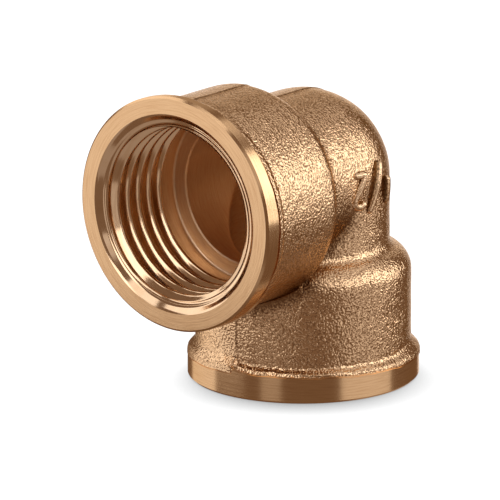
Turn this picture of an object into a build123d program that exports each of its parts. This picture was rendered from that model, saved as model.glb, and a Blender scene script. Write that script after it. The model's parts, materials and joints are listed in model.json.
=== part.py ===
from build123d import *
import math
import os

# Threaded pipe elbow for half-inch pipe: one bronze casting with two machined ports.
# Millimetres, +Z up. The origin is on the floor, under the middle of the fitting's box.
# The upright port stands on the floor and points down, and the level port points along -Y.

# The whole fitting
centre_to_face = 23.2
ball_radius = 9.85

# Barrel and shoulder of each port
barrel_radius = 12.3
barrel_length = 12.4
shoulder_round = 2.8
neck_fillet = 1.2

# Collar of each port: turned band, then the cast lip that slopes down to the barrel
collar_radius = 13.2
edge_chamfer = 0.25
level_turned_width = 1.5
upright_turned_width = 2.4
lip_rise = 0.15
lip_width = 0.7
lip_round = 0.8

# Machined bore of each port
mouth_radius = 11.15
thread_root_radius = 10.48
thread_crest_radius = 9.32
first_crest_depth = 1.75
last_crest_depth = 8.9
relief_radius = 10.1
relief_depth = 12.4
waterway_radius = 8.27

# Lengths that follow from the ones above
lip_radius = collar_radius + lip_rise
upright_axis_y = (centre_to_face - lip_radius) / 2
level_face_y = upright_axis_y - centre_to_face
axes_meet = (0, upright_axis_y, centre_to_face)
flare_length = lip_radius - barrel_radius
countersink_depth = mouth_radius - thread_root_radius
relief_start = last_crest_depth + relief_radius - thread_crest_radius

# The cove at the neck touches both the shoulder round and the neck
round_middle = barrel_radius - shoulder_round
cove_middle = ball_radius + neck_fillet
cove_offset = cove_middle - round_middle
cove_reach = shoulder_round + neck_fillet
cove_rise = math.sqrt(cove_reach**2 - cove_offset**2)
touch_share = shoulder_round / cove_reach
touch_point = (round_middle + cove_offset * touch_share, barrel_length + cove_rise * touch_share)
neck_point = (ball_radius, barrel_length + cove_rise)

# Each port's section is drawn with x as radius and y as depth from the port's face
upright_port = Plane(origin=(0, upright_axis_y, 0), x_dir=(1, 0, 0), z_dir=(0, -1, 0))
level_port = Plane(origin=(0, level_face_y, centre_to_face), x_dir=(1, 0, 0), z_dir=(0, 0, 1))
port_widths = ((upright_port, upright_turned_width), (level_port, level_turned_width))

with BuildPart() as elbow_body:
    # Ball at the bend, centred where the two axes meet
    with Locations(axes_meet):
        Sphere(ball_radius)

    # Collar, barrel, shoulder and neck of each port
    for port, turned_width in port_widths:
        lip_end = turned_width + lip_width
        with BuildSketch(port) as section:
            with BuildLine():
                collar = Polyline(
                    (0, 0),
                    (collar_radius - edge_chamfer, 0),
                    (collar_radius, edge_chamfer),
                    (collar_radius, turned_width),
                    (lip_radius, turned_width),
                    (lip_radius, lip_end),
                    (barrel_radius, lip_end + flare_length),
                )
                barrel = Line(collar @ 1, (barrel_radius, barrel_length))
                shoulder = TangentArc(barrel @ 1, touch_point, tangent=barrel % 1)
                cove = TangentArc(shoulder @ 1, neck_point, tangent=shoulder % 1)
                Polyline(cove @ 1, (ball_radius, centre_to_face), (0, centre_to_face), (0, 0))
            make_face()
            lip_corner = section.vertices().group_by(Axis.X)[-1].sort_by(Axis.Y)[-1]
            fillet(lip_corner, lip_round)
        revolve(axis=Axis(port.origin, port.y_dir))

    # Waterway turn: a hollow ball that joins the two bores
    with Locations(axes_meet):
        Sphere(waterway_radius, mode=Mode.SUBTRACT)

    # Machined bore of each port: countersink, thread bore at its crests, relief, shoulder, waterway
    for port in (upright_port, level_port):
        with BuildSketch(port):
            with BuildLine():
                Polyline(
                    (0, 0),
                    (mouth_radius, 0),
                    (thread_root_radius, countersink_depth),
                    (thread_crest_radius, first_crest_depth),
                    (thread_crest_radius, last_crest_depth),
                    (relief_radius, relief_start),
                    (relief_radius, relief_depth),
                    (waterway_radius, relief_depth),
                    (waterway_radius, centre_to_face),
                    (0, centre_to_face),
                    close=True,
                )
            make_face()
        revolve(axis=Axis(port.origin, port.y_dir), mode=Mode.SUBTRACT)

elbow_body.part.label = "elbow_body"
os.makedirs("parts", exist_ok=True)
export_step(elbow_body.part, "parts/elbow_body.step")
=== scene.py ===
import json
import math

import bpy
import numpy as np
from mathutils import Matrix, Vector


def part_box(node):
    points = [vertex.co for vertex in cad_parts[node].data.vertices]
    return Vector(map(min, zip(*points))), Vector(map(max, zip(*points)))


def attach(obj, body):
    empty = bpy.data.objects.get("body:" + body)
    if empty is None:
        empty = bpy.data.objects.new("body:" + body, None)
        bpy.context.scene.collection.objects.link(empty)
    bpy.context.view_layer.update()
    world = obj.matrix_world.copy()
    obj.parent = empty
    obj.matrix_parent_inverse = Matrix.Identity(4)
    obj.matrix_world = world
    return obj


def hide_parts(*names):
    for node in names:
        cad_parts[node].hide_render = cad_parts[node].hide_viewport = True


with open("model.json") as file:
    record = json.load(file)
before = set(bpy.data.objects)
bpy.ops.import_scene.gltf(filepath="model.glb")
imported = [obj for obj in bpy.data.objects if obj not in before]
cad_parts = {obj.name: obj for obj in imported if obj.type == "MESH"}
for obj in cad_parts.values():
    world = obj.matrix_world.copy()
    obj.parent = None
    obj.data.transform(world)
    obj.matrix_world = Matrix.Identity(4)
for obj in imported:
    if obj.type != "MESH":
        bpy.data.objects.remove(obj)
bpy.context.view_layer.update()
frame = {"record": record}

# Elbow body
# The whole fitting is one sand-cast bronze elbow. Its collars, faces and bores were turned on a lathe
# after casting, and a right-hand half-inch pipe thread was cut in each port.
mm = 0.001
mounts = {mount["name"]: mount for mount in frame["record"]["mounts"]}
axis_y = mounts["upright_thread"]["pos_m"][1]
axis_z = mounts["level_thread"]["pos_m"][2]
reach = axis_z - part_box("elbow_body")[0].z

ball_radius = 9.85 * mm
barrel_radius = 12.3 * mm
barrel_length = 12.4 * mm
shoulder_round = 2.8 * mm
neck_cove = 1.2 * mm
cove_offset = ball_radius + neck_cove - (barrel_radius - shoulder_round)
cove_rise = math.sqrt((shoulder_round + neck_cove)**2 - cove_offset**2)
corner_softness = 0.3 * mm

collar_radius = 13.2 * mm
edge_chamfer = 0.25 * mm
level_band_width = 1.5 * mm
level_band_slant = 0.68 * mm
upright_band_width = 2.35 * mm
upright_band_slant = 0.5 * mm
mould_shift = 0.4 * mm
lip_radius = 13.34 * mm
lip_width = 0.7 * mm
lip_softness = 0.13 * mm
flare_softness = 0.22 * mm
lip_end = 6.0 * mm
groove_depth = 0.08 * mm
groove_width = 0.13 * mm

mouth_radius = 11.15 * mm
mouth_bevel = 0.13 * mm
root_radius = 10.48 * mm
crest_radius = mounts["level_thread"]["dims"]["r_mm"] * mm
pitch = 1.814 * mm
first_crest = -0.345 * mm
lead_radius = 9.96 * mm
lead_step = 0.06 * mm
lead_end = 0.97 * mm
thread_start_length = 0.15 * mm
thread_end = 9.35 * mm
runout_length = 0.5 * mm
relief_radius = 10.1 * mm
relief_depth = 12.4 * mm
relief_round = 0.35 * mm
step_bevel = 0.15 * mm
waterway_radius = 8.27 * mm

mould_mismatch = 0.08 * mm
parting_ridge = 0.025 * mm
hand_waves = 0.012 * mm
# Painted shade: the cast bronze is darkened in the inner corner, along the parting step and in the level
# port's neck cove, where shade falls.
shade_spread_by_level_port = 3.6 * mm
shade_spread_by_upright_port = 1.0 * mm
shade_start = 2.0 * mm
shade_full = 7.0 * mm
parting_shade = 0.55
parting_shade_place = 0.05 * mm
parting_shade_width = 0.1 * mm
cove_shade = 0.8
cove_shade_depth = barrel_length + cove_rise + 0.21 * mm
cove_shade_width = 0.45 * mm

water_rows = 26
lip_rows = 20
cast_rows = 112
level_thread_rows = 140
upright_thread_rows = 100
even_columns = 144
columns_by_parting = np.array([0.008, 0.016, 0.026])
beside = np.concatenate([columns_by_parting, -columns_by_parting])
angle = np.unique(np.concatenate([
    np.linspace(-np.pi, np.pi, even_columns, endpoint=False),
    np.pi / 2 + beside,
    -np.pi / 2 + beside,
]))


def smooth_step(share):
    """Rises from 0 to 1 with level ends, as three squares less two cubes of the share."""
    share = np.clip(share, 0, 1)
    return share * share * (3 - 2 * share)


def arc(middle, radius, start, end, count):
    """Depth and radius along a round stretch of a profile, from one angle to another about its middle."""
    turn = np.linspace(start, end, count)
    return middle[0] + radius * np.sin(turn), middle[1] + radius * np.cos(turn)


def straight(start, end, count):
    """Rows of depth and radius from start up to, but not with, end. Each may differ from column to column."""
    share = np.linspace(0, 1, count, endpoint=False)[:, None]
    ends = [np.broadcast_to(value, angle.shape) for value in (*start, *end)]
    return ends[0] + (ends[2] - ends[0]) * share, ends[1] + (ends[3] - ends[1]) * share


def carried_to_mitre(line_depth, line_radius, count):
    """Rows of a profile line from its start to the mitre plane, in which the two ports meet.
    A point is short of the mitre while its depth's remainder plus radius times sin(angle) is positive."""
    steps = np.hypot(np.diff(line_depth), np.diff(line_radius))
    length = np.concatenate([[0], np.cumsum(steps)])
    room = (reach - line_depth)[:, None] + line_radius[:, None] * np.sin(angle)
    last = room.shape[0] - 1 - np.argmax(room[::-1] > 0, axis=0)
    column = np.arange(angle.size)
    before, after = room[last, column], room[last + 1, column]
    end = length[last] + (length[last + 1] - length[last]) * before / (before - after)
    along = np.linspace(0, 1, count)[:, None] * end
    return np.interp(along, length, line_depth), np.interp(along, length, line_radius)


def cast_line():
    """Depth and radius of the cast outside: barrel, shoulder round, neck cove, neck and ball."""
    round_middle = np.array([barrel_length, barrel_radius - shoulder_round])
    touch = math.atan2(cove_rise, cove_offset)
    cove_middle = round_middle + (cove_rise, cove_offset)
    pieces = [
        ([lip_end], [barrel_radius]),
        arc(round_middle, shoulder_round, 0, touch, 60),
        arc(cove_middle, neck_cove, touch - np.pi, -np.pi, 30),
        arc((reach, 0), ball_radius, 0, math.radians(50), 80),
    ]
    return [np.concatenate([piece[k] for piece in pieces]) for k in range(2)]


def water_line():
    """Depth and radius of the waterway: a straight bore that ends in the hollow ball at the turn."""
    ball = arc((reach, 0), waterway_radius, 0, math.radians(50), 80)
    return [np.concatenate([[start], along]) for start, along in
            zip((relief_depth + step_bevel, waterway_radius), ball)]


def thread_radius(depth, hand):
    """Radius of the threaded bore. A triangle wave of depth over pitch, shifted by the angle's share of a
    turn and cut flat at crest and root, runs between the two radii. It fades into the relief, and starts
    behind the mouth's cone and the plain ring below that."""
    turns = (depth + first_crest) / pitch + hand * (angle / (2 * np.pi) - 0.5)
    triangle = 1 - 4 * np.abs(turns - np.round(turns))
    steepness, crest_share, corner = 1.5, 0.15, 0.1
    wave = steepness * triangle + crest_share
    above_root = np.logaddexp(0, 2 * (wave + 1) / corner)
    above_crest = np.logaddexp(0, 2 * (wave - 1) / corner)
    wave = corner / 2 * (above_root - above_crest) - 1
    cut = (root_radius + crest_radius) / 2 - (root_radius - crest_radius) / 2 * wave
    faded = smooth_step((depth - thread_end) / runout_length)
    cone_end = mouth_radius - root_radius
    mouth_depths = (0, cone_end, cone_end + lead_step)
    mouth = np.interp(depth, mouth_depths, (mouth_radius, root_radius, lead_radius))
    started = smooth_step((depth - lead_end) / thread_start_length)
    return mouth * (1 - started) + (cut * (1 - faded) + relief_radius * faded) * started


def lip_radius_at(past_band, loss, width, steepness):
    """Radius of the cast lip behind the turned band: the smooth minimum of the lip's height and a slope down
    to the barrel, and the smooth maximum of that and the barrel."""
    height = lip_radius - loss - barrel_radius
    slope = height - steepness * (past_band - width)
    capped = -lip_softness * np.logaddexp(-height / lip_softness, -slope / lip_softness)
    return barrel_radius + flare_softness / 2 * np.logaddexp(0, 2 * capped / flare_softness)


def port_half(turned_width, lip_shape, thread_rows, hand):
    """One port as rows of points in the level port's frame, with the axes' meeting point as origin: from the
    mitre out through waterway, relief, thread and mouth, over face and collar, and back outside to the mitre.
    Also gives each row's finish, whether the row is a sharp edge, and its depth and radius."""
    water = [rows[:0:-1] for rows in carried_to_mitre(*water_line(), water_rows)]
    thread_depth = np.linspace(thread_end + runout_length, mouth_bevel, thread_rows)[:, None]
    thread_depth = np.broadcast_to(thread_depth, (thread_rows, angle.size))
    mouth = (0, mouth_radius + mouth_bevel / 2)
    lip_start = turned_width + groove_width
    past_band = np.linspace(0, 1, lip_rows, endpoint=False)[:, None] * (lip_end - lip_start)
    lip = (lip_start + past_band, lip_radius_at(past_band, *lip_shape))
    bevel_start = (relief_depth + step_bevel, waterway_radius)
    step_edge = (relief_depth, waterway_radius + step_bevel)
    round_start = (relief_depth, relief_radius - relief_round)
    round_end = (relief_depth - relief_round, relief_radius)
    relief_corner = arc((round_end[0], round_start[1]), relief_round, np.pi / 2, 0, 5)
    relief_corner = [np.repeat(line[:-1, None], angle.size, axis=1) for line in relief_corner]
    relief_start = (thread_end + runout_length, relief_radius)
    face_edge = (0, collar_radius - edge_chamfer)
    band_edge = (edge_chamfer, collar_radius)
    band_end = (turned_width, collar_radius)
    groove_start = (turned_width, collar_radius - groove_depth)
    groove_end = (lip_start, collar_radius - groove_depth)
    blocks = [
        ("drilled", False, water),
        ("drilled", True, straight(bevel_start, step_edge, 1)),
        ("drilled", True, straight(step_edge, round_start, 3)),
        ("drilled", False, relief_corner),
        ("drilled", False, straight(round_end, relief_start, 6)),
        ("bored", False, (thread_depth, thread_radius(thread_depth, hand))),
        ("turned", True, straight(mouth, face_edge, 4)),
        ("turned", True, straight(face_edge, band_edge, 2)),
        ("turned", True, straight(band_edge, band_end, 4)),
        ("turned", True, straight(band_end, groove_start, 1)),
        ("turned", True, straight(groove_start, groove_end, 1)),
        ("turned", True, straight(groove_end, (lip_start, lip[1][0]), 1)),
        ("cast", True, lip),
        ("cast", False, carried_to_mitre(*cast_line(), cast_rows)),
    ]
    depth = np.concatenate([rows[0] for _, _, rows in blocks])
    radius = np.concatenate([rows[1] for _, _, rows in blocks])
    finish = np.concatenate([[name] * len(rows[0]) for name, _, rows in blocks])
    sharp = np.concatenate([[edge] + [False] * (len(rows[0]) - 1) for _, edge, rows in blocks])
    points = np.stack([radius * np.cos(angle), depth - reach, radius * np.sin(angle)], axis=-1)
    return points, finish, sharp, depth, radius


def soften_mitre(points, rows, end):
    """Rounds the crease in the mitre plane: the distance h from that plane is read as the root of h squared
    plus softness squared, so that the surface crosses the plane square on."""
    across = np.array([0, -1, 1]) / math.sqrt(2)
    crease = points[end]
    along = np.roll(crease, -1, axis=0) - np.roll(crease, 1, axis=0)
    outward = np.cross(along, across)
    outward /= np.linalg.norm(outward, axis=-1, keepdims=True)
    leaving = points[rows][3 if end == 0 else -4] - crease
    slope = (leaving * outward).sum(-1) / (leaving @ across)
    height = np.maximum(points[rows] @ across, 0)
    lift = slope * (np.sqrt(height**2 + corner_softness**2) - height)
    points[rows] += lift[..., None] * outward


def surface_normals(points):
    """Unit normals of a closed grid of points, from the cross product of its two central differences."""
    down = np.roll(points, -1, axis=0) - np.roll(points, 1, axis=0)
    along = np.roll(points, -1, axis=1) - np.roll(points, 1, axis=1)
    normal = np.cross(down, along)
    return normal / np.maximum(np.linalg.norm(normal, axis=-1, keepdims=True), 1e-12)


def cast_relief(points, depth):
    """Height of the casting's own unevenness: one mould half stands a little lower than the other beside the
    parting plane, a thin ridge runs along that plane, and long shallow waves come from hand finishing."""
    x, y, z = (points[..., k] / mm for k in range(3))
    behind_lip = smooth_step((depth / mm - 3.6) / 1.0)
    mismatch = -mould_mismatch * smooth_step(x / 0.16 + 0.5) * np.maximum(1 - (x / 11)**2, 0)
    ridge = parting_ridge * np.exp(-(x / 0.14)**2) * behind_lip
    waves = np.sin(1.1 * x + 0.6 * z) + np.sin(0.8 * y - 0.9 * z + 1.0) + np.sin(1.5 * z + 0.7 * x + 2.0)
    return mismatch + ridge + hand_waves * (waves - 3 * (1 - behind_lip))


def painted_casting_shade(points):
    """Share of painted shade on the cast outside: darker colour where shade falls. In the inner corner it is
    a bell curve of the distance from the mitre plane, and it rises from the fitting's middle towards the
    corner. Thin bell curves lie along the parting plane's step and in the level port's neck cove."""
    x, y, z = np.moveaxis(points - (0, axis_y, axis_z), -1, 0)
    from_mitre = (z - y) / math.sqrt(2)
    inwards = -(z + y) / math.sqrt(2)
    spread = np.where(from_mitre > 0, shade_spread_by_level_port, shade_spread_by_upright_port)
    rising = smooth_step((inwards - shade_start) / (shade_full - shade_start))
    corner = rising * np.exp(-(from_mitre / spread)**2)
    parting = parting_shade * np.exp(-((x - parting_shade_place) / parting_shade_width)**2)
    past_cove = y + reach - cove_shade_depth
    cove = cove_shade * np.exp(-(past_cove / cove_shade_width)**2) * (from_mitre > 0)
    return np.maximum(np.maximum(corner, parting), cove)


# The casting sat a little askew in the lathe, so the turned bands slant, and their edges are ragged. Right
# of the upright port's parting line the mould halves don't quite meet: there the band is wider, and the lip
# is worn down.
ragged = (0.03 * np.sin(13 * angle) + 0.025 * np.sin(22 * angle + 1.0) + 0.02 * np.sin(37 * angle + 2.0)) * mm
level_band = level_band_width + level_band_slant * np.cos(angle + math.radians(38)) + ragged
level_loss = 0.25 * mm * smooth_step(np.cos(angle - math.radians(100)))
level_lip = (level_loss, lip_width, 1.0)
past_parting = np.clip(angle + np.pi / 2, 0, None)
shifted = (past_parting > 0) * np.exp(-past_parting / 0.35)
upright_slant = upright_band_slant * np.cos(angle + math.radians(52))
upright_band = upright_band_width + upright_slant + mould_shift * shifted + ragged[::-1]
worn = smooth_step(past_parting / 0.04) * smooth_step((0.7 - angle) / 0.9)
cut_off = worn * smooth_step((-0.6 - angle) / 0.6)
upright_loss = (0.07 * smooth_step(-np.cos(angle)) + 0.28 * worn + 0.32 * cut_off) * mm
upright_lip = (upright_loss, lip_width * (1 - 0.5 * worn), 1.0 + 0.8 * worn)
level_half = port_half(level_band, level_lip, level_thread_rows, 1)
upright_half = port_half(upright_band, upright_lip, upright_thread_rows, -1)
for points in (level_half[0], upright_half[0]):
    soften_mitre(points, slice(-cast_rows, None), -1)
    soften_mitre(points, slice(0, water_rows - 1), 0)
level_half[0][:] += (0, axis_y, axis_z)
upright_half[0][:] = upright_half[0][:, :, [0, 2, 1]] + (0, axis_y, axis_z)
joined = [np.concatenate([there, back[-2:0:-1]]) for there, back in zip(level_half, upright_half)]
body_points, body_finish, body_sharp, body_depth, body_radius = joined
relief = np.where((body_finish == "cast")[:, None], cast_relief(body_points, body_depth), 0)
body_points = body_points + relief[..., None] * surface_normals(body_points)

row_count, column_count = body_points.shape[:2]
vertex = np.arange(row_count * column_count).reshape(row_count, column_count)
next_row = np.roll(vertex, -1, axis=0)
quads = np.stack([vertex, next_row, np.roll(next_row, -1, axis=1), np.roll(vertex, -1, axis=1)], axis=-1)

body_mesh = bpy.data.meshes.new("elbow_body_skin")
body_mesh.from_pydata(body_points.reshape(-1, 3), [], quads.reshape(-1, 4).tolist())
turns_round = np.append((angle + np.pi) / (2 * np.pi), 1.0)
reading = body_depth + body_radius
reading = np.append(reading, reading[:, :1], axis=1)
next_reading = np.roll(reading, -1, axis=0)
uv_v = np.stack([reading[:, :-1], next_reading[:, :-1], next_reading[:, 1:], reading[:, 1:]], axis=-1) / mm
uv_u = np.stack([turns_round[:-1], turns_round[:-1], turns_round[1:], turns_round[1:]], axis=-1)
uv = np.stack([np.broadcast_to(uv_u, uv_v.shape), uv_v], axis=-1)
body_mesh.uv_layers.new(name="lathe").data.foreach_set("uv", uv.astype(np.float32).ravel())
# The painted shade is stored on each point, and the sand grain group darkens the cast bronze with it.
stain = painted_casting_shade(body_points).astype(np.float32).ravel()
body_mesh.attributes.new("stain", "FLOAT", "POINT").data.foreach_set("value", stain)
edge_ends = np.empty(len(body_mesh.edges) * 2, np.int32)
body_mesh.edges.foreach_get("vertices", edge_ends)
edge_rows = edge_ends.reshape(-1, 2) // column_count
sharp_edges = (edge_rows[:, 0] == edge_rows[:, 1]) & body_sharp[edge_rows[:, 0]]
body_mesh.attributes.new("sharp_edge", "BOOLEAN", "EDGE").data.foreach_set("value", sharp_edges)
body_mesh.shade_smooth()
finishes = ["cast", "turned", "bored", "drilled"]
between_rows = np.concatenate([level_half[1][:-1], upright_half[1][-2::-1]])
row_finish = np.array([finishes.index(name) for name in between_rows])
face_finish = np.broadcast_to(row_finish[:, None], (row_count, column_count))
body_mesh.polygons.foreach_set("material_index", face_finish.astype(np.int32).ravel())


def new_material(name):
    """A node material, with its node tree and its Principled shader."""
    material = bpy.data.materials.new(name)
    material.use_nodes = True
    tree = material.node_tree
    return material, tree, tree.nodes["Principled BSDF"]


def value_node(tree, kind, inputs, links, **settings):
    """A node of the given kind, with constants and links set on its inputs by name or number."""
    node = tree.nodes.new(kind)
    for key, value in settings.items():
        setattr(node, key, value)
    for key, value in inputs.items():
        node.inputs[key].default_value = value
    for key, source in links.items():
        tree.links.new(source, node.inputs[key])
    return node


def sand_grain():
    """Node group for the mould's sand and painted shade: grit of one size on a slightly uneven ground, from
    the object's own coordinates. Its outputs are the height, and how dark a place is from its pits and the
    painted shade."""
    group = bpy.data.node_groups.new("sand_grain", "ShaderNodeTree")
    group.interface.new_socket("Height", in_out="OUTPUT", socket_type="NodeSocketFloat")
    group.interface.new_socket("Pit", in_out="OUTPUT", socket_type="NodeSocketFloat")
    place = group.nodes.new("ShaderNodeTexCoord").outputs["Object"]
    grit = value_node(group, "ShaderNodeTexNoise", {"Scale": 4600, "Detail": 0.0}, {"Vector": place})
    ground = value_node(group, "ShaderNodeTexNoise", {"Scale": 900, "Detail": 1.0}, {"Vector": place})
    height = value_node(group, "ShaderNodeMath", {1: 0.6}, {0: ground.outputs[0], 2: grit.outputs[0]},
                        operation="MULTIPLY_ADD")
    pit = value_node(group, "ShaderNodeMapRange", {"From Min": 0.55, "From Max": 0.3},
                     {"Value": grit.outputs[0]})
    # The stored painted shade is added to the darkness of the pits, so the cast bronze is darker where shade
    # falls.
    stain = group.nodes.new("ShaderNodeAttribute")
    stain.attribute_name = "stain"
    dark = value_node(group, "ShaderNodeMath", {1: 0.5}, {0: pit.outputs[0], 2: stain.outputs["Fac"]},
                      operation="MULTIPLY_ADD")
    out = group.nodes.new("NodeGroupOutput")
    group.links.new(height.outputs[0], out.inputs["Height"])
    group.links.new(dark.outputs[0], out.inputs["Pit"])
    return group


def lathe_lines():
    """Node group for tool marks: noise that is stretched along the turning direction and fine across it,
    from the lathe map. Its outputs are a height and a tone, each from 0 to 1."""
    group = bpy.data.node_groups.new("lathe_lines", "ShaderNodeTree")
    group.interface.new_socket("Height", in_out="OUTPUT", socket_type="NodeSocketFloat")
    group.interface.new_socket("Tone", in_out="OUTPUT", socket_type="NodeSocketFloat")
    lathe_map = value_node(group, "ShaderNodeUVMap", {}, {}, uv_map="lathe").outputs["UV"]
    drawn = value_node(group, "ShaderNodeMapping", {"Scale": (11, 9, 1)}, {"Vector": lathe_map})
    lines = value_node(group, "ShaderNodeTexNoise", {"Scale": 1.0, "Detail": 2.0},
                       {"Vector": drawn.outputs[0]}, noise_dimensions="2D")
    broad = value_node(group, "ShaderNodeMapping", {"Scale": (26, 6, 1)}, {"Vector": lathe_map})
    tone = value_node(group, "ShaderNodeTexNoise", {"Scale": 1.0, "Detail": 3.0},
                      {"Vector": broad.outputs[0]}, noise_dimensions="2D")
    out = group.nodes.new("NodeGroupOutput")
    group.links.new(lines.outputs[0], out.inputs["Height"])
    group.links.new(tone.outputs[0], out.inputs["Tone"])
    return group


rim_colour = (0.92, 0.77, 0.6, 1)


def bronze(name, group, second, roughness, light, dark, contrast, bump_depth):
    """A bronze finish. The group's height shapes the surface, and its second output, spread by the given
    contrast, mixes the light colour with the dark one. The rim colour warms what is seen at a slant."""
    material, tree, shader = new_material(name)
    shader.inputs["Metallic"].default_value = 1.0
    shader.inputs["Roughness"].default_value = roughness
    shader.inputs["Specular Tint"].default_value = rim_colour
    marks = tree.nodes.new("ShaderNodeGroup")
    marks.node_tree = group
    bump = value_node(tree, "ShaderNodeBump", {"Strength": 1.0, "Distance": bump_depth},
                      {"Height": marks.outputs["Height"]})
    share = value_node(tree, "ShaderNodeMapRange", {"From Min": contrast[0], "From Max": contrast[1]},
                       {"Value": marks.outputs[second]})
    colour = value_node(tree, "ShaderNodeMix", {}, {}, data_type="RGBA")
    colour.inputs[6].default_value = (*light, 1)
    colour.inputs[7].default_value = (*dark, 1)
    tree.links.new(share.outputs[0], colour.inputs[0])
    tree.links.new(colour.outputs[2], shader.inputs["Base Color"])
    tree.links.new(bump.outputs["Normal"], shader.inputs["Normal"])
    return material


sand_and_shade = sand_grain()
turning = lathe_lines()
cast_bronze = bronze("cast_bronze", sand_and_shade, "Pit", roughness=0.16, light=(0.86, 0.59, 0.36),
                     dark=(0.26, 0.135, 0.06), contrast=(0.1, 1.0), bump_depth=0.00008)
turned_bronze = bronze("turned_bronze", turning, "Tone", roughness=0.18, light=(0.80, 0.53, 0.30),
                       dark=(0.70, 0.44, 0.235), contrast=(0.4, 0.8), bump_depth=0.0000025)
bored_bronze = bronze("bored_bronze", turning, "Tone", roughness=0.12, light=(0.90, 0.65, 0.43),
                      dark=(0.82, 0.56, 0.34), contrast=(0.45, 0.75), bump_depth=0.000004)
# The waterway's bronze is lighter than the other machined bronze: painted light for the light that reaches
# into the bore.
drilled_bronze = bronze("drilled_bronze", turning, "Tone", roughness=0.4, light=(0.97, 0.71, 0.47),
                        dark=(0.89, 0.61, 0.38), contrast=(0.4, 0.7), bump_depth=0.00002)

for material in (cast_bronze, turned_bronze, bored_bronze, drilled_bronze):
    body_mesh.materials.append(material)
elbow = bpy.data.objects.new("elbow", body_mesh)
bpy.context.scene.collection.objects.link(elbow)
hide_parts("elbow_body")
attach(elbow, "root")

# Size mark
# The numerals of the half-inch size stand on the ball as part of the same casting, upside down beside the
# upright port. Their places are millimetres to the back and up, from the ball's point that faces right.
# The size mark's bronze is a lighter copy of the cast bronze, as painted light on the stroke tops, and the
# strokes' flanks get painted shade.
mark_bronze = bronze("mark_bronze", sand_and_shade, "Pit", roughness=0.24, light=(0.93, 0.66, 0.42),
                     dark=(0.22, 0.12, 0.05), contrast=(0.4, 1.1), bump_depth=0.00003)
stroke_half_width = 0.48 * mm
stroke_height = 0.68 * mm
stroke_squareness = 2.6
stroke_rings = 40
stroke_sides = 24
two_place = (-2.4, -0.05)
two = [
    (-0.95, 1.2), (-0.6, 1.85), (0.1, 1.95), (0.75, 1.5),
    (0.6, 0.7), (-0.3, -0.6), (-0.95, -1.75), (1.0, -1.8),
]
slash = [(1.45, 2.9), (0.4, 0.0), (-0.7, -3.1)]
one_place = (2.95, -0.75)
one = [(-0.6, 0.9), (-0.1, 1.5), (0.0, 0.0), (0.1, -1.6)]


def upside_down(place, line):
    """A numeral's points, turned half round about its own place."""
    return [(place[0] - across, place[1] - up) for across, up in line]


def smooth_line(points, count):
    """Evenly spaced points on a line through a few given ones, with its corners rounded by three averages."""
    points = np.array(points)
    length = np.concatenate([[0], np.cumsum(np.hypot(*np.diff(points, axis=0).T))])
    even = np.linspace(0, length[-1], count)
    line = np.stack([np.interp(even, length, points[:, k]) for k in range(2)], axis=-1)
    for _ in range(3):
        line[1:-1] = (line[:-2] + 2 * line[1:-1] + line[2:]) / 4
    return line


def raised_stroke(line):
    """Points of a closed rib along a line on the ball. Across it, the rib is a fairly square ellipse that
    lies half in the ball, and towards both ends it shrinks to a point as a circle does. Also gives how far
    each point is down the rib's flank, from 0 on its top to 1, where the painted shade on the flank is full."""
    outward = np.concatenate([np.full((len(line), 1), ball_radius / mm), line], axis=1)
    outward /= np.linalg.norm(outward, axis=1, keepdims=True)
    middle = outward * ball_radius
    ahead = np.gradient(middle, axis=0)
    sideways = np.cross(outward, ahead)
    sideways /= np.linalg.norm(sideways, axis=1, keepdims=True)
    travelled = np.concatenate([[0], np.cumsum(np.linalg.norm(np.diff(middle, axis=0), axis=1))])
    to_end = np.minimum(travelled, travelled[-1] - travelled)
    size = np.sqrt(np.clip(1 - (1 - np.minimum(to_end / stroke_half_width, 1))**2, 0, 1))
    turn = np.linspace(0, 2 * np.pi, stroke_sides, endpoint=False)
    power = stroke_squareness
    squared = (np.abs(np.cos(turn))**power + np.abs(np.sin(turn))**power)**(-1 / power)
    wide = (squared * np.cos(turn) * stroke_half_width)[None, :, None] * size[:, None, None]
    high = (squared * np.sin(turn) * stroke_height)[None, :, None] * size[:, None, None]
    centre = np.array([0, axis_y, axis_z])
    points = centre + middle[:, None] + wide * sideways[:, None] + high * outward[:, None]
    flank = smooth_step((0.9 - squared * np.sin(turn)) / 0.4)
    return points, np.broadcast_to(flank, points.shape[:2])


def add_stroke(name, line):
    """A cast stroke as its own mesh, riding on the body: rings along the line, and a point at each end."""
    points, flank = raised_stroke(smooth_line(line, stroke_rings))
    rings, sides = points.shape[0] - 2, points.shape[1]
    index = 1 + np.arange(rings * sides).reshape(rings, sides)
    beside = np.roll(index, -1, axis=1)
    first, last = np.zeros(sides, int), np.full(sides, rings * sides + 1)
    sheet = np.stack([index[:-1], beside[:-1], beside[1:], index[1:]], axis=-1).reshape(-1, 4)
    start_cap = np.stack([first, beside[0], index[0]], axis=-1)
    end_cap = np.stack([last, index[-1], beside[-1]], axis=-1)
    corners = np.concatenate([points[0, :1], points[1:-1].reshape(-1, 3), points[-1, :1]])
    mesh = bpy.data.meshes.new(name)
    mesh.from_pydata(corners, [], sheet.tolist() + start_cap.tolist() + end_cap.tolist())
    # The flank share is stored as painted shade, which darkens the stroke's flanks.
    stain = np.concatenate([[1], flank[1:-1].ravel(), [1]]).astype(np.float32)
    mesh.attributes.new("stain", "FLOAT", "POINT").data.foreach_set("value", stain)
    mesh.shade_smooth()
    mesh.materials.append(mark_bronze)
    stroke = bpy.data.objects.new(name, mesh)
    bpy.context.scene.collection.objects.link(stroke)
    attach(stroke, "root")


add_stroke("size_mark_two", upside_down(two_place, two))
add_stroke("size_mark_slash", slash)
add_stroke("size_mark_one", upside_down(one_place, one))

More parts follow.
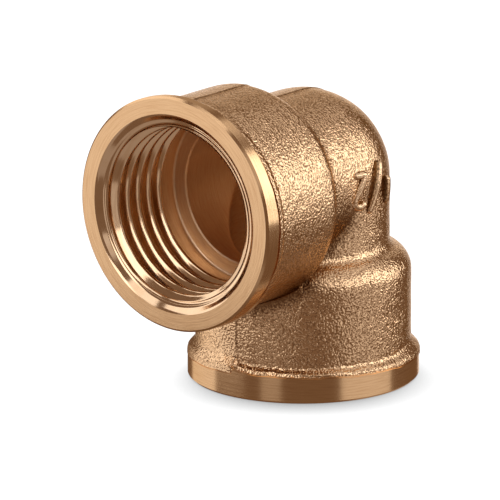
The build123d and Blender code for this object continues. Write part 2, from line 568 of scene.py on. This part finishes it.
# Floor
# A plain white studio floor, which takes the fitting's soft contact shadow. Its shade is gathered from a sky
# that leans to the back left, so the shadow shows at the front right.
floor_mesh = bpy.data.meshes.new("floor")
half_floor = 3.0
floor_mesh.from_pydata([(-half_floor, -half_floor, 0), (half_floor, -half_floor, 0),
                        (half_floor, half_floor, 0), (-half_floor, half_floor, 0)], [], [(0, 1, 2, 3)])
floor = bpy.data.objects.new("floor", floor_mesh)
bpy.context.scene.collection.objects.link(floor)
floor_white, tree, shader = new_material("floor_white")
shader.inputs["Base Color"].default_value = (0, 0, 0, 1)
shader.inputs["Emission Strength"].default_value = 1.0
shader.inputs["Specular IOR Level"].default_value = 0.0
shade_reach = 6 * mm
sky = value_node(tree, "ShaderNodeCombineXYZ", {"X": -0.53, "Y": 0.68, "Z": 0.5}, {})
shade = value_node(tree, "ShaderNodeAmbientOcclusion", {"Distance": shade_reach},
                   {"Normal": sky.outputs["Vector"]})
brightness = value_node(tree, "ShaderNodeMapRange",
                        {"From Min": 0.3, "From Max": 0.8, "To Min": 0.45, "To Max": 1.0},
                        {"Value": shade.outputs["AO"]}, clamp=False)
tree.links.new(brightness.outputs["Result"], shader.inputs["Emission Color"])
floor_mesh.materials.append(floor_white)
floor.visible_glossy = False
floor.visible_shadow = False

# Studio light
# White soft boxes stand round the fitting, in warm and dim surroundings. Each is given by the azimuths and
# elevations that it spans, seen from the fitting, and its radiance.
aim = Vector((0, 0, 0.018))


def direction(azimuth, elevation):
    """Unit vector from the fitting towards an azimuth, from the front over the right, and an elevation."""
    turn, lift = math.radians(azimuth), math.radians(elevation)
    return Vector((math.sin(turn) * math.cos(lift), -math.cos(turn) * math.cos(lift), math.sin(lift)))


def soft_box(name, azimuths, elevations, radiance, distance=0.6):
    """An area light that spans a range of azimuths and one of elevations, in degrees, with an even radiance.
    Its power is radiance times pi times its area."""
    outward = direction(sum(azimuths) / 2, sum(elevations) / 2)
    light = bpy.data.lights.new(name, "AREA")
    light.shape = "RECTANGLE"
    lift = math.radians(sum(elevations) / 2)
    light.size = 2 * distance * math.tan(math.radians(azimuths[1] - azimuths[0]) / 2) * math.cos(lift)
    light.size_y = 2 * distance * math.tan(math.radians(elevations[1] - elevations[0]) / 2)
    light.energy = radiance * math.pi * light.size * light.size_y
    lamp = bpy.data.objects.new(name, light)
    lamp.location = aim + outward * distance
    lamp.rotation_euler = outward.to_track_quat("Z", "Y").to_euler()
    bpy.context.scene.collection.objects.link(lamp)


soft_box("right_low", (76, 134), (-24, -7), 0.6)
soft_box("right_near", (74, 104), (8, 42), 1.3)
soft_box("right_far", (104, 136), (8, 26), 2.0)
soft_box("right_edge", (136, 152), (-9, 40), 2.2)
soft_box("right_high", (62, 106), (42, 58), 0.75)
soft_box("right_front", (36, 60), (14, 44), 0.45)
soft_box("front_low", (-4, 16), (-20, 4), 0.32)
soft_box("front_high", (-14, 18), (6, 40), 1.6)
soft_box("front_top", (-34, 14), (40, 63), 1.0)
soft_box("front_under", (-50, 50), (-66, -34), 0.16)
soft_box("left_near", (-64, -22), (-17, 8), 0.8, 0.3)
soft_box("left_low", (-106, -60), (-24, 6), 0.7)
soft_box("left_high", (-100, -58), (8, 58), 1.05)
soft_box("left_under", (-110, -72), (-42, -24), 1.3)
soft_box("backdrop", (-162, -134), (-24, 14), 0.8)
soft_box("back_left", (-160, -112), (14, 40), 0.27)
soft_box("back_under", (-190, -132), (-62, -24), 0.25)
soft_box("back_top", (136, 190), (42, 58), 0.7)
soft_box("overhead_back", (100, 190), (60, 84), 0.6)

world = bpy.data.worlds.new("studio")
world.use_nodes = True
surroundings = world.node_tree.nodes["Background"]
surroundings.inputs["Color"].default_value = (0.19, 0.123, 0.082, 1)
bpy.context.scene.world = world
bpy.context.scene.view_settings.view_transform = "Standard"

# Camera
# A long lens looks from the front right and a little above, as the photograph was taken, and the roll is the
# slight tilt of the photograph's frame.
camera_place = Vector((0.329734, -0.419129, 0.158444))
camera_target = Vector((-0.000669, -0.003901, 0.016059))
camera_roll = math.radians(-0.264)
camera_data = bpy.data.cameras.new("camera")
camera_data.lens = 353.1
camera_data.sensor_width = 36.0
camera = bpy.data.objects.new("camera", camera_data)
forward = (camera_target - camera_place).normalized()
level = forward.cross(Vector((0, 0, 1))).normalized()
upward = level.cross(forward)
across = math.cos(camera_roll) * level + math.sin(camera_roll) * upward
above = -math.sin(camera_roll) * level + math.cos(camera_roll) * upward
facing = Matrix((across, above, -forward)).transposed().to_4x4()
camera.matrix_world = Matrix.Translation(camera_place) @ facing
camera_data.clip_start = 0.01
camera_data.clip_end = 50.0
bpy.context.scene.collection.objects.link(camera)
bpy.context.scene.camera = camera
